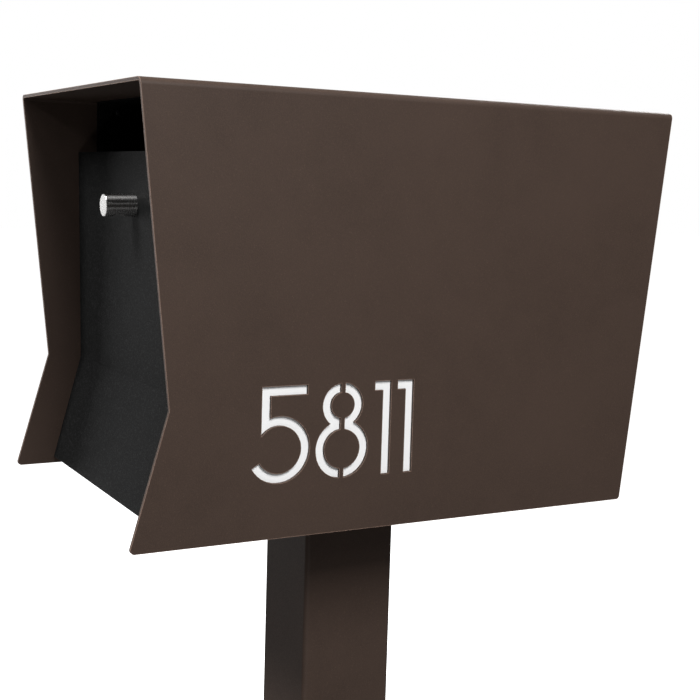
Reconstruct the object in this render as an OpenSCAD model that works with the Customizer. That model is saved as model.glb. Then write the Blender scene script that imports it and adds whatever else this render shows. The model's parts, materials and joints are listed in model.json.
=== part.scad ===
// Parcel drop box on a square post: a bent cover over a riveted inner box, a
// drop-down front door below an open letter slot, and a locked rear door.
// X is the width, Y the length with the front at -Y, Z up from the ground.

/* [Cover] */
// Outside width of the cover
cover_w = 381; // [330:1:460]
// Height of the cover's sides, top face to lower edge
cover_h = 400; // [350:1:480]
// Length of the cover's top, front edge to rear edge
cover_l = 570; // [500:1:690]
// Thickness of the cover sheet
cover_t = 3.2; // [2:0.1:4]
// Outside radius of the two top bends
bend_r = 6.5; // [4.5:0.5:10]
// Depth of the notch at the knee of the front edge
knee_depth = 30; // [10:1:36]
// Height of the part of the side below the knee
knee_h = 121; // [95:1:150]
// How far the lower front corner stands ahead of the top edge
toe_lead = 4; // [0:1:12]
// How far the lower rear corner stands in from the top edge
tail_cut = 47; // [20:1:50]
// Radius of the lower corners
corner_r = 4; // [1:0.5:8]

/* [Front door] */
// Inset of the door's top edge behind the cover's front edge
door_top_inset = 60; // [50:1:75]
// Inset of the door at its bend
door_knee_inset = 65; // [55:1:80]
// Inset of the door's lower edge
door_toe_inset = 36; // [30:1:50]
// Letter slot height, cover top face to the door's top edge
door_drop = 58; // [45:1:80]
// Gap below the door's lower edge, to the cover's lower edge
door_foot = 7.5; // [6:0.5:12]
// Gap between the door and the cover at each side
door_side_gap = 2.3; // [1.5:0.1:4]
// Thickness of the door sheet
door_t = 2; // [1.2:0.1:3]
// Depth of the door's folded side and top edges
door_rim = 12; // [9:0.5:14]
// Height of the knob's axis below the door's top edge
knob_drop = 52; // [35:1:90]
// Diameter of the knob
knob_d = 22; // [16:0.5:30]
// Length of the knob
knob_l = 31; // [20:1:40]

/* [Inner box] */
// Thickness of the inner box sheet
liner_t = 1.5; // [1:0.1:2]
// Thickness of the floor pan
floor_t = 2; // [1.5:0.1:3]
// Gap between the cover's side and the inner box wall
wall_gap = 9; // [8:0.5:14]
// Inset of the rear door's face from the cover's top rear edge
rear_inset = 58; // [52:1:90]

/* [House number] */
// Height of the digits
digit_h = 87.5; // [60:0.5:110]
// Width of a digit stroke
stroke = 8.6; // [6:0.1:11]
// Height of the digits' foot above the cover's lower edge
digit_foot = 50; // [35:1:90]
// Distance of the first digit's centre from the cover's front edge
digit_front = 133; // [110:1:180]
// Thickness of the white panel behind the digits
backer_t = 3; // [2:0.1:4]

/* [Post] */
// Side of the square post
post_w = 101.6; // [76:0.1:127]
// Wall thickness of the post
post_t = 3.2; // [2:0.1:6]
// Length of the post tube
post_h = 1034; // [600:1:1500]
// Side of the base plate
base_w = 254; // [230:1:320]
// Thickness of the base plate
base_t = 9.5; // [6:0.5:16]
// Spacing of the anchor holes, both ways
anchor_pitch = 203.2; // [180:0.1:210]
// Diameter of the anchor holes
anchor_d = 14.3; // [10:0.1:18]
// Spacing of the four bolts that hold the box on the post, both ways
head_pitch = 144; // [140:1:160]

/* [Hidden] */
$fn = 48;

// Clearances
run = 0.05;    // a shaft in its bore, on the radius
slip = 0.1;    // a fastener in its hole, on the radius
loose = 0.25;  // a fastener in a wide hole, on the radius
air = 0.3;     // between faces that pass or meet softly
cut = 1;       // how far a cutting solid passes through

// Blind rivets
rivet_r = 1.6;
rivet_head_r = 3.2;
rivet_crown_r = 1.9;
rivet_head_h = 1.1;
rivet_tail_r = 2.4;
rivet_tail_l = 1.2;

// Screws, bolts and nuts
small_r = 2;
small_nut_flats = 7;
small_nut_h = 3;
screw_head_r = 4;
screw_head_h = 2.6;
stem_r = 2.5;          // the knob's screw
bolt_r = 4;
bolt_flats = 13;
bolt_head_h = 5.3;
bolt_nut_h = 6.5;
bolt_tail = 9;         // bolt past the head plate
bolt_slack = 0.5;      // a bolt in its hole, on the radius
washer_t = 1.6;
washer_r = 8;

// Heights in the box's own frame: z is 0 at the cover's top face, y is 0 at its front edge
knee_z = -(cover_h - knee_h);
knee_gap = 2.5;                // the door's bend below the cover's knee
door_toe_z = -(cover_h - door_foot);

// Front door outline, down its outer face
door_top = [door_top_inset, -door_drop];
door_knee = [door_knee_inset, knee_z - knee_gap];
door_toe = [door_toe_inset, door_toe_z];
door_path = [door_top, door_knee, door_toe];
door_w = cover_w - 2 * (cover_t + door_side_gap);

// Hinges, front and rear
knuckle_r = 4;
pin_r = 1.5;
leaf_t = 1.5;
leaf_w = 22;
hem = 8;                       // door sheet past the hinge axis
body_drop = knuckle_r - 0.5;   // hinge axis to the sheet that carries the fixed leaf
sill_back = 7.5;               // hinge axis to the edge of that sheet
axis_back = door_t + knuckle_r;
door_axis = from_foot(hem, axis_back);
lean = atan2(door_knee[0] - door_toe[0], door_knee[1] - door_toe[1]);
tilt = atan2(door_knee[0] - door_top[0], door_top[1] - door_knee[1]);
rivet_out = 15;                // hinge axis to the rivets
knuckle_gap = 0.3;
knuckles = 13;
door_spots = [-0.46, -0.23, 0, 0.23, 0.46];
stud_root = 0.5;               // how deep a welded stud's root runs into the sheet

// Floor and walls
floor_top = door_axis[1] - body_drop;
floor_bot = floor_top - floor_t;
floor_front = door_axis[0] + sill_back;
lip_h = 5;
wall_out = cover_w / 2 - cover_t - wall_gap;
wall_in = wall_out - liner_t;
fold_in = wall_in - liner_t;
roof_z = -cover_t - liner_t;
slot_front = door_top_inset + 18;
jamb_n = 5;                    // front frame face behind the door's outer face
jamb_rail = 19;                // width of a jamb inside the wall
jamb_in = wall_in - jamb_rail;
door_hinge_l = 2 * (jamb_in - 3);
jamb_out = door_w / 2 - door_t - 1.5;
jamb_fold = 16;
header_s = 34;                 // header's lower edge below the door's top edge
sill_s = 3.2;                  // letter slot's sill below the door's top edge
foot_w = 12;
drain_r = 3;

// Places of the box rivets
fold_mid = 12;                 // jamb rivets behind the door's outer face
jamb_spots = [
    from_top(60, fold_mid), from_top(140, fold_mid),
    from_foot(100, fold_mid), from_foot(40, fold_mid)
];
roof_spots = [0.06, 0.5, 0.94];
frame_spots = [0.15, 0.5, 0.85];
foot_spots = [0.08, 0.36, 0.64, 0.92];

// Rear end
rear_y = cover_l - rear_inset;
rear_axis = [-(wall_in - body_drop), rear_y - axis_back];
frame_y = rear_axis[1] - leaf_w - 1;
rear_door_l = rear_axis[0] - hem;
rear_side_gap = 5.8;           // rear door to the cover
rear_door_r = cover_w / 2 - cover_t - rear_side_gap;
rear_door_top = roof_z - 7;
rear_door_bot = floor_top + 4;
rear_mid = (rear_door_top + rear_door_bot) / 2;
rear_hinge_l = rear_door_top - rear_door_bot - 40;
rear_spots = [-0.42, 0, 0.42];
wall_end = rear_axis[1] - sill_back - 1.5;
frame_foot = 20;               // the walls' feet and roof folds stop short of the rear frame
roof_end = frame_y - frame_foot;
feet_front = door_axis[0] + leaf_w + 4;
feet_rear = frame_y - frame_foot;
head_rail = 36;                // rear frame below the roof
sill_rail = 8;                 // and above the floor
side_rail = 14;                // and inside the walls
frame_fold = 18;

// Letter chute and security flap
chute_t = 1.2;
chute_fold = 24;
chute_in = 26;
chute_run = 84;
chute_fall = 42;
flap_y = door_top_inset + 28;
flap_z = -door_drop - 41;
rod_r = 4;
flap_t = 1.5;
flap_w = 2 * (fold_in - 4);
flap_end = floor_top + 8;
flap_lip = 10;
bush_r = 6;
bush_rim = 2.5;
clip_x = wall_out + 3;
groove = 0.8;                  // depth of the rod's clip grooves
chute_front = from_top(sill_s + liner_t, jamb_n + liner_t + air);
chute_edge = from_top(sill_s + liner_t, jamb_n + chute_in);
chute_screw = from_top(sill_s, jamb_n + 12);
chute_spots = [-0.8, 0, 0.8];

// Lock in the rear door
lock_x = wall_in - 29;
lock_z = rear_mid;
plug_r = 6;
barrel_r = 9;
cam_y = frame_y - liner_t - 0.5;
barrel_l = rear_y - (cam_y + 0.2);
bezel_w = 3;
bezel_h = 2.5;
cam_t = 2.5;
cam_z = -barrel_l - 0.2 - cam_t;
cam_reach = 25;
lock_nut_h = 4;
key_t = 2;
key_w = 8;
key_in = 15;
bow_r = 12;

// Number panel, cover tabs and post
backer_l = 1.6 * digit_h + 50;
backer_h = digit_h + 26;
backer_y = digit_front + 0.594 * digit_h;
backer_z = -cover_h + digit_foot + digit_h / 2;
digit_places = [0.72, 1.194, 1.469];   // after the first digit, as shares of their height
tab_t = 3;
tab_l = 20;
tab_spots = [0.2, 0.5, 0.8];
head_t = 6;
head_z = base_t + post_h;
head_w = head_pitch + 36;
post_r = post_t + 2;
knob_edge = 0.6;

// Plane geometry
function unit(v) = v / norm(v);
function normal(a, b) = let(d = unit(b - a)) [-d[1], d[0]];
// A path moved sideways by n, with mitred corners
function shifted(p, n) = [
    for (i = [0 : len(p) - 1])
        let(a = normal(p[max(i - 1, 0)], p[max(i, 1)]),
            b = normal(p[min(i, len(p) - 2)], p[min(i + 1, len(p) - 1)]),
            m = unit(a + b))
        p[i] + m * n / (m * a)
];
function reversed(p) = [for (i = [len(p) - 1 : -1 : 0]) p[i]];
// The outline of a sheet between two shifts of a path
function sheet(p, n0, n1) = concat(shifted(p, n0), reversed(shifted(p, n1)));
// An arc that rounds the corner c between a and b
function rounded(a, c, b, r) =
    let(u = unit(a - c), v = unit(b - c), half = acos(u * v) / 2,
        o = c + unit(u + v) * r / sin(half),
        s = c + u * r / tan(half) - o,
        turn = (u[0] * v[1] - u[1] * v[0] > 0 ? -1 : 1) * (180 - 2 * half))
    [for (i = [0 : 8]) let(t = turn * i / 8)
        o + [s[0] * cos(t) - s[1] * sin(t), s[0] * sin(t) + s[1] * cos(t)]];
// Points on the door: s down from its top edge, or up from its foot, n behind its face
function from_top(s, n) =
    door_top + unit(door_knee - door_top) * s + normal(door_top, door_knee) * n;
function from_foot(s, n) =
    door_toe + unit(door_knee - door_toe) * s + normal(door_knee, door_toe) * n;
// The door's path with its ends cut short
function door_cut(top, foot) = [from_top(top, 0), door_knee, from_foot(foot, 0)];

// The side of the cover, and the box's frame centred over the post
side_outline = let(
    tail = [cover_l - tail_cut, -cover_h],
    toe = [-toe_lead, -cover_h],
    knee = [knee_depth, knee_z],
    top_rear = [cover_l, 0]
) concat([[0, 0]], rounded([0, 0], top_rear, tail, 1.5), rounded(top_rear, tail, toe, corner_r),
    rounded(tail, toe, knee, corner_r), [knee]);
side_ys = [for (p = side_outline) p[0]];
box_y = -(min(side_ys) + max(side_ys)) / 2;
box_z = head_z + head_t - floor_bot;
head_y = -box_y;
module in_box() translate([0, box_y, box_z]) children();
// Carries a (y, z) outline from x0 to x1
module along_x(x0, x1) translate([x0, 0, 0]) rotate([90, 0, 90]) linear_extrude(x1 - x0) children();
module block(lo, hi) translate(lo) cube(hi - lo);
// Faces +Z towards the box's inside from a side wall at x
module facing_in(x) rotate([0, x > 0 ? -90 : 90, 0]) children();

// A blind rivet through a grip: head at z = 0 and up
module rivet(grip) {
    cylinder(h = rivet_head_h, r1 = rivet_head_r, r2 = rivet_crown_r);
    translate([0, 0, -grip - 1]) cylinder(h = grip + 1.2, r = rivet_r);
    translate([0, 0, -grip - rivet_tail_l]) cylinder(h = rivet_tail_l, r = rivet_tail_r);
}
module rivet_hole(grip) translate([0, 0, -grip - cut]) cylinder(h = grip + 2 * cut, r = rivet_r + run);
module hex(flats, h) cylinder(h = h, d = flats / cos(30), $fn = 6);
// A nut from z = 0 up, round a thread of radius r
module nut(flats, h, r) difference() {
    hex(flats, h);
    translate([0, 0, -cut]) cylinder(h = h + 2 * cut, r = r);
}

/* Cover */
module arch(w, r, top) {
    translate([-w / 2, -cover_h - 1]) square([w, cover_h + 1 + top - r]);
    translate([-w / 2 + r, top - r - 1]) square([w - 2 * r, r + 1]);
    for (s = [-1, 1]) translate([s * (w / 2 - r), top - r]) circle(r);
}
module cover_section() difference() {
    arch(cover_w, bend_r, 0);
    arch(cover_w - 2 * cover_t, bend_r - cover_t, -cover_t);
}
module digit_one() {
    square([stroke, digit_h]);
    translate([-stroke, digit_h - stroke]) square([stroke + 1, stroke]);
}
module digit_eight() {
    low_r = 0.306 * digit_h;
    top_r = 0.234 * digit_h;
    bridge = 4.2;
    difference() {
        union() {
            translate([0, low_r]) circle(low_r, $fn = 96);
            translate([0, digit_h - top_r]) circle(top_r, $fn = 96);
        }
        translate([0, low_r]) circle(low_r - stroke, $fn = 96);
        translate([0, digit_h - top_r]) circle(top_r - stroke, $fn = 96);
        translate([-bridge / 2, -1]) square([bridge, digit_h + 2]);
    }
}
module digit_five() {
    bowl_r = 0.346 * digit_h;
    stem_x = -0.2 * digit_h;
    bar_end = 0.31 * digit_h;
    tail_a = 210;
    difference() {
        union() {
            translate([stem_x, bowl_r]) square([stroke, digit_h - bowl_r]);
            translate([stem_x, digit_h - stroke]) square([bar_end - stem_x, stroke]);
            translate([0, bowl_r]) circle(bowl_r, $fn = 96);
        }
        translate([0, bowl_r]) circle(bowl_r - stroke, $fn = 96);
        translate([0, bowl_r]) polygon([
            [stem_x, stem_x * tan(tail_a)],
            [-digit_h, -digit_h * tan(tail_a)],
            [-digit_h, digit_h],
            [stem_x, digit_h]
        ]);
    }
}
module house_number() {
    digit_five();
    translate([digit_places[0] * digit_h, 0]) digit_eight();
    for (i = [1, 2])
        translate([digit_places[i] * digit_h, 0]) digit_one();
}
// The screws that hold the cover run up through the floor into its welded tabs
module at_cover_screws()
    for (s = [-1, 1], k = tab_spots)
        translate([
            s * (cover_w / 2 - cover_t - wall_gap / 2),
            floor_front + k * (rear_y - floor_front),
            floor_top
        ]) children();
module at_backer_studs()
    for (y = [-1, 1], z = [-1, 1])
        translate([
            cover_w / 2 - cover_t,
            backer_y + y * (backer_l / 2 - 8),
            backer_z + z * (backer_h / 2 - 7)
        ]) rotate([0, -90, 0]) children();
module cover_shell() color("#493b33") in_box() {
    difference() {
        intersection() {
            translate([0, cover_l + toe_lead + 1, 0]) rotate([90, 0, 0])
                linear_extrude(cover_l + 2 * toe_lead + 3) cover_section();
            along_x(-cover_w, cover_w) polygon(side_outline);
        }
        along_x(cover_w / 2 - cover_t - 1, cover_w / 2 + 1)
            translate([digit_front, -cover_h + digit_foot]) house_number();
    }
    at_cover_screws() difference() {
        translate([-wall_gap / 2, -tab_l / 2, 0]) cube([wall_gap, tab_l, tab_t]);
        translate([0, 0, -cut]) cylinder(h = tab_t + 2 * cut, r = small_r + slip);
    }
    at_backer_studs() cylinder(h = wall_gap - 2, r = small_r);
}
module number_backer() color("white") in_box() difference() {
    block([cover_w / 2 - cover_t - backer_t, backer_y - backer_l / 2, backer_z - backer_h / 2],
        [cover_w / 2 - cover_t, backer_y + backer_l / 2, backer_z + backer_h / 2]);
    at_backer_studs() translate([0, 0, -cut]) cylinder(h = wall_gap, r = small_r + slip);
}
module backer_nuts() color("silver") in_box() at_backer_studs()
    translate([0, 0, backer_t]) nut(small_nut_flats, small_nut_h, small_r + slip);
module cover_screws() color("silver") in_box() at_cover_screws() {
    translate([0, 0, -floor_t - screw_head_h])
        cylinder(h = screw_head_h, r1 = screw_head_r - 0.8, r2 = screw_head_r);
    translate([0, 0, -floor_t - 0.5]) cylinder(h = floor_t + tab_t + 1.5, r = small_r);
}

/* Inner box */
module at_head_bolts()
    for (x = [-1, 1], y = [-1, 1])
        translate([x * head_pitch / 2, y * head_pitch / 2, 0]) children();
module floor_hole(r) translate([0, 0, -floor_t - cut]) cylinder(h = floor_t + 2 * cut, r = r);
module floor_holes() {
    translate([0, head_y, floor_top]) at_head_bolts() floor_hole(bolt_r + bolt_slack);
    at_cover_screws() floor_hole(small_r + loose);
    // Drain holes
    for (s = [-1, 1], k = [0.12, 0.88])
        translate([s * wall_in * 0.7, floor_front + k * (rear_y - floor_front), floor_top])
            floor_hole(drain_r);
}
module floor_pan() color("#1b1b1b") in_box() difference() {
    union() {
        half = cover_w / 2 - cover_t - air;
        block([-half, floor_front, floor_bot], [half, rear_y + 1, floor_top]);
        block([-half, floor_front, floor_top - lip_h], [half, floor_front + floor_t, floor_bot]);
        block([-half, rear_y + 1 - floor_t, floor_top - lip_h], [half, rear_y + 1, floor_bot]);
    }
    floor_holes();
    at_box_rivets() rivet_hole($grip);
    at_sill_rivets() rivet_hole(leaf_t + floor_t);
}
// Two bounds at a side wall, in order, whichever side s it is
function side(s, a, b) = [min(s * a, s * b), max(s * a, s * b)];
module liner(s) {
    wall = side(s, wall_in, wall_out);
    foot = side(s, wall_in - foot_w, wall_in);
    low = from_foot(hem + 6, jamb_n + liner_t);
    difference() {
        union() {
            along_x(wall[0], wall[1]) polygon([
                [slot_front, roof_z],
                [slot_front, from_top(header_s, 0)[1]],
                from_top(header_s, jamb_n + liner_t),
                shifted(door_path, jamb_n + liner_t)[1],
                low,
                [door_axis[0] + 12, low[1]],
                [door_axis[0] + 12, floor_top],
                [wall_end, floor_top],
                [wall_end, roof_z]
            ]);
            block([foot[0], feet_front, floor_top], [foot[1], feet_rear, floor_top + liner_t]);
        }
        at_box_rivets() rivet_hole($grip);
        if (s < 0) at_rear_frame_rivets() rivet_hole(leaf_t + liner_t);
        translate([s * wall_in, flap_y, flap_z]) facing_in(s)
            translate([0, 0, -liner_t - cut]) cylinder(h = liner_t + 2 * cut, r = bush_r + run);
    }
}
module left_liner() color("#1b1b1b") in_box() liner(-1);
module right_liner() color("#1b1b1b") in_box() liner(1);
module roof_liner() color("#1b1b1b") in_box() difference() {
    union() {
        block([-wall_out, slot_front, roof_z], [wall_out, wall_end, -cover_t]);
        for (s = [-1, 1]) {
            x = side(s, fold_in, wall_in);
            block([x[0], slot_front + 2, roof_z - jamb_fold], [x[1], roof_end, roof_z]);
        }
    }
    at_box_rivets() rivet_hole($grip);
}
// Front frame: two jambs that follow the door, and a header that is the letter slot's sill
module front_frame() color("#1b1b1b") in_box() difference() {
    bite = liner_t / 2;
    union() {
        difference() {
            along_x(-jamb_out, jamb_out)
                polygon(sheet(door_cut(3, hem + 6), jamb_n, jamb_n + liner_t));
            block([-jamb_in, 0, -cover_h], [jamb_in, 2 * door_knee_inset, from_top(header_s, 0)[1]]);
        }
        for (s = [-1, 1]) {
            x = side(s, fold_in, wall_in);
            along_x(x[0], x[1])
                polygon(sheet(door_cut(header_s, hem + 8), jamb_n + bite, jamb_fold));
        }
        sill = [from_top(sill_s, 0), from_top(sill_s + liner_t, 0)];
        along_x(-fold_in, fold_in) polygon(sheet(sill, jamb_n + bite, jamb_n + chute_fold));
    }
    at_box_rivets() rivet_hole($grip);
    at_chute_screws() translate([0, 0, -6]) cylinder(h = 10, r = small_r + slip);
}
module rear_frame() color("#1b1b1b") in_box() difference() {
    union() {
        difference() {
            block([-wall_in, frame_y - liner_t, floor_top], [wall_in, frame_y, roof_z]);
            block([-(wall_in - side_rail), frame_y - liner_t - cut, floor_top + sill_rail],
                [wall_in - side_rail, frame_y + cut, roof_z - head_rail]);
        }
        for (s = [-1, 1]) {
            x = side(s, fold_in, wall_in);
            block([x[0], frame_y - frame_fold, floor_top], [x[1], frame_y - liner_t, roof_z]);
        }
    }
    at_box_rivets() rivet_hole($grip);
}
// Every rivet of the inner box, as [place, tilt, grip], with its head inwards
box_rivet_spots = [
    for (s = [-1, 1]) each concat(
        [for (p = jamb_spots) [[s * fold_in, p[0], p[1]], -90 * s, 2 * liner_t]],
        [for (k = roof_spots)
            [[s * fold_in, slot_front + k * (roof_end - slot_front), roof_z - 9], -90 * s, 2 * liner_t]],
        [for (k = frame_spots)
            [[s * fold_in, frame_y - 11, floor_top + k * (roof_z - floor_top)], -90 * s, 2 * liner_t]],
        [for (k = foot_spots)
            [[s * (wall_in - 7), feet_front + k * (feet_rear - feet_front), floor_top + liner_t], 0,
                liner_t + floor_t]]
    )
];
module at_box_rivets() for (r = box_rivet_spots) {
    $grip = r[2];
    translate(r[0]) rotate([0, r[1], 0]) children();
}
module box_rivets() color("#8c8c8c") in_box() at_box_rivets() rivet($grip);

/* Letter chute */
module at_chute_screws()
    for (k = chute_spots)
        translate([k * fold_in, chute_screw[0], chute_screw[1]]) rotate([tilt, 0, 0]) children();
module letter_chute() color("#1b1b1b") in_box() difference() {
    along_x(-fold_in + 1, fold_in - 1) polygon(reversed(sheet(
        reversed([chute_front, chute_edge, chute_edge + [chute_run, -chute_fall]]), 0, chute_t)));
    at_chute_screws() translate([0, 0, -8]) cylinder(h = 12, r = small_r + slip);
}
module chute_screws() color("silver") in_box() at_chute_screws() {
    cylinder(h = 1.6, r1 = 3.8, r2 = 2.6);
    translate([0, 0, -8]) cylinder(h = 8, r = small_r);
    translate([0, 0, -liner_t - chute_t - small_nut_h]) hex(small_nut_flats, small_nut_h);
}

/* Security flap: hangs from a rod behind the doorway and swings inwards only */
module at_flap_rod() translate([0, flap_y, flap_z]) rotate([0, 90, 0]) children();
module rod_cylinder(x0, x1, r) translate([0, 0, x0]) cylinder(h = x1 - x0, r = r);
module security_flap() color("#2a2a2a") in_box() difference() {
    union() {
        at_flap_rod() rod_cylinder(-flap_w / 2, flap_w / 2, rod_r + flap_t);
        block([-flap_w / 2, flap_y - flap_t / 2, flap_end], [flap_w / 2, flap_y + flap_t / 2, flap_z]);
        block([-flap_w / 2, flap_y - flap_t / 2, flap_end],
            [flap_w / 2, flap_y + flap_lip, flap_end + flap_t]);
    }
    at_flap_rod() rod_cylinder(-flap_w, flap_w, rod_r + run);
}
module flap_rod() color("silver") in_box() at_flap_rod() difference() {
    rod_cylinder(-clip_x - 2, clip_x + 2, rod_r);
    for (s = [-1, 1])
        translate([0, 0, s * clip_x]) difference() {
            cylinder(h = 1, r = rod_r + 1, center = true);
            cylinder(h = 2, r = rod_r - groove, center = true);
        }
}
module flap_bushings() color("#d8d4c8") in_box() for (s = [-1, 1])
    translate([s * wall_in, flap_y, flap_z]) facing_in(s) difference() {
        union() {
            translate([0, 0, -liner_t - 1]) cylinder(h = liner_t + 1, r = bush_r);
            cylinder(h = 1.5, r = bush_r + bush_rim);
        }
        translate([0, 0, -10]) cylinder(h = 20, r = rod_r + run);
    }
module rod_clips() color("silver") in_box() at_flap_rod() for (s = [-1, 1])
    translate([0, 0, s * clip_x]) difference() {
        cylinder(h = 0.8, r = rod_r + 2.4, center = true);
        cylinder(h = 2, r = rod_r - groove + run, center = true);
        translate([rod_r + 1.5, 0, 0]) cube([5, 4, 2], center = true);
    }
module flap_bumpers() color("black") in_box() for (s = [-1, 1]) {
    p = from_top(180, jamb_n + liner_t);
    seat = 0.2;
    translate([s * (jamb_in + 6), p[0], p[1]]) rotate([-90, 0, 0])
        translate([0, 0, seat]) cylinder(h = flap_y - flap_t / 2 - air - p[0] - seat, r1 = 5, r2 = 3.5);
}

/* Front door */
module front_door() color("#191919") in_box() difference() {
    union() {
        along_x(-door_w / 2, door_w / 2) polygon(sheet(door_path, 0, door_t));
        for (s = [-1, 1]) {
            x = side(s, door_w / 2 - door_t, door_w / 2);
            along_x(x[0], x[1]) polygon(sheet(door_cut(0, hem + 6), door_t / 2, door_rim));
        }
        along_x(-door_w / 2, door_w / 2)
            polygon(sheet([from_top(0, 0), from_top(door_t, 0)], door_t / 2, door_rim));
        at_door_studs() translate([0, 0, -leaf_t - stud_root])
            cylinder(h = stud_root + leaf_t + small_nut_h + 0.6, r = small_r);
    }
    at_knob() translate([0, 0, -door_t - 5]) cylinder(h = door_t + 10, r = stem_r + loose);
}
// The knob's axis, from the door's face outwards
module at_knob() {
    p = from_top(knob_drop, 0);
    translate([0, p[0], p[1]]) rotate([90 + tilt, 0, 0]) children();
}
module pull_knob() color("#dcdcdc") in_box() at_knob() difference() {
    union() {
        cylinder(h = knob_l - knob_edge, r = knob_d / 2, $fn = 96);
        translate([0, 0, knob_l - knob_edge])
            cylinder(h = knob_edge, r1 = knob_d / 2, r2 = knob_d / 2 - knob_edge, $fn = 96);
    }
    translate([0, 0, -cut]) cylinder(h = knob_l * 0.6 + cut, r = stem_r + slip);
    // Finger scoop on the underside
    translate([0, -knob_d / 2 - 17, knob_l * 0.56]) rotate([0, 90, 0])
        cylinder(h = knob_d + 2, r = 19, center = true, $fn = 96);
    translate([0, 0, knob_l * 0.3]) rotate([90, 0, 0]) cylinder(h = knob_d, r = 1.8);
}
module knob_screw() color("silver") in_box() at_knob() {
    translate([0, 0, -door_t - 1]) cylinder(h = door_t + 1 + knob_l * 0.55, r = stem_r);
    translate([0, 0, -door_t - 1 - 3]) cylinder(h = 3, r1 = 3.4, r2 = 4.6);
}
module knob_washer() color("silver") in_box() at_knob() translate([0, 0, -door_t - 1]) difference() {
    cylinder(h = 1, r = 5.5);
    translate([0, 0, -cut]) cylinder(h = 1 + 2 * cut, r = stem_r + slip);
}
module knob_set_screw() color("#333333") in_box() at_knob() translate([0, 0, knob_l * 0.3])
    rotate([90, 0, 0]) difference() {
        translate([0, 0, stem_r + slip]) cylinder(h = 4.5, r = 1.7);
        translate([0, 0, 5]) cylinder(h = 3, d = 1.6, $fn = 6);
    }
module door_bumpers() color("black") in_box()
    for (s = [-1, 1], p = [from_top(120, 0), from_foot(80, 0)]) {
        upper = p[1] > door_knee[1];
        n = upper ? normal(door_top, door_knee) : normal(door_knee, door_toe);
        q = p + n * (door_t + air);
        translate([s * (jamb_in + jamb_out) / 2, q[0], q[1]]) rotate([-90 + atan2(n[1], n[0]), 0, 0])
            cylinder(h = jamb_n - door_t - air, r1 = 4, r2 = 5);
    }
module door_magnets() color("#5a5a5a") in_box() for (s = [-1, 1])
    along_x(s * 110 - 20, s * 110 + 20)
        polygon(sheet([from_top(10, 0), from_top(22, 0)], door_t + air, jamb_n));

/* Hinges. Local frame: the axis along X, the moving sheet up +Z, inwards +Y */
module at_door_axis() in_box() translate([0, door_axis[0], door_axis[1]]) children();
// A leaf whose plate lies "off" from the axis, with every second knuckle
module leaf(length, first, off) {
    pitch = length / knuckles;
    root = knuckle_r + 0.4;
    difference() {
        union() {
            translate([-length / 2, -off, root]) cube([length, leaf_t, leaf_w - root]);
            for (i = [first : 2 : knuckles - 1])
                translate([-length / 2 + i * pitch + knuckle_gap / 2, 0, 0]) {
                    rotate([0, 90, 0]) cylinder(h = pitch - knuckle_gap, r = knuckle_r);
                    translate([0, -off, 0]) cube([pitch - knuckle_gap, leaf_t, knuckle_r + 1]);
                }
        }
        translate([-length, 0, 0]) rotate([0, 90, 0]) cylinder(h = 2 * length, r = pin_r + run);
    }
}
// Rivet places on a leaf, head on the leaf's free side
module at_leaf_rivets(length, spots, off)
    for (k = spots)
        translate([k * length, -off + leaf_t, rivet_out]) rotate([-90, 0, 0]) children();
module door_side() at_door_axis() rotate([-lean, 0, 0]) children();
// Turns a leaf from the door's side to lie along the floor
module floor_side() mirror([0, 1, -1]) children();
module at_sill_rivets() translate([0, door_axis[0], door_axis[1]]) floor_side()
    at_leaf_rivets(door_hinge_l, door_spots, body_drop) children();
// Studs welded inside the door hold its leaf, so the door's face stays plain
module at_door_studs() translate([0, door_axis[0], door_axis[1]]) rotate([-lean, 0, 0])
    at_leaf_rivets(door_hinge_l, door_spots, knuckle_r) children();
module door_leaf() color("#3a3a3a") door_side() difference() {
    leaf(door_hinge_l, 1, knuckle_r);
    at_leaf_rivets(door_hinge_l, door_spots, knuckle_r) translate([0, 0, -leaf_t - cut])
        cylinder(h = leaf_t + 2 * cut, r = small_r + slip);
}
module door_nuts() color("silver") in_box() at_door_studs()
    nut(small_nut_flats, small_nut_h, small_r + slip);
module sill_leaf() color("#3a3a3a") at_door_axis() floor_side() difference() {
    leaf(door_hinge_l, 0, body_drop);
    at_leaf_rivets(door_hinge_l, door_spots, body_drop) rivet_hole(leaf_t + floor_t);
}
module sill_rivets() color("#8c8c8c") in_box() at_sill_rivets() rivet(leaf_t + floor_t);
module door_hinge_pin() color("silver") at_door_axis() rotate([0, 90, 0])
    cylinder(h = door_hinge_l, r = pin_r, center = true);

/* Rear door: an upright hinge on the left wall */
// The hinge frame stood upright: the door towards +X, inwards towards -Y
module at_rear_axis() translate([rear_axis[0], rear_axis[1], rear_mid])
    multmatrix([[0, 0, 1, 0], [0, -1, 0, 0], [1, 0, 0, 0], [0, 0, 0, 1]]) children();
module at_rear_frame_rivets() at_rear_axis() floor_side()
    at_leaf_rivets(rear_hinge_l, rear_spots, body_drop) children();
module at_rear_door_rivets() at_rear_axis() at_leaf_rivets(rear_hinge_l, rear_spots, knuckle_r) children();
module rear_door() color("#191919") in_box() difference() {
    union() {
        block([rear_door_l, rear_y - door_t, rear_door_bot], [rear_door_r, rear_y, rear_door_top]);
        block([rear_door_r - door_t, rear_y - door_rim, rear_door_bot],
            [rear_door_r, rear_y - 1, rear_door_top]);
        for (z = [rear_door_bot, rear_door_top - door_t])
            block([rear_axis[0] + 12, rear_y - door_rim, z], [rear_door_r, rear_y - 1, z + door_t]);
    }
    at_rear_door_rivets() rivet_hole(leaf_t + door_t);
    at_lock() translate([0, 0, -door_t - cut]) cylinder(h = door_t + 2 * cut, r = barrel_r + 0.2);
}
module rear_door_leaf() color("#3a3a3a") in_box() at_rear_axis() difference() {
    leaf(rear_hinge_l, 1, knuckle_r);
    at_leaf_rivets(rear_hinge_l, rear_spots, knuckle_r) rivet_hole(leaf_t + door_t);
}
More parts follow.
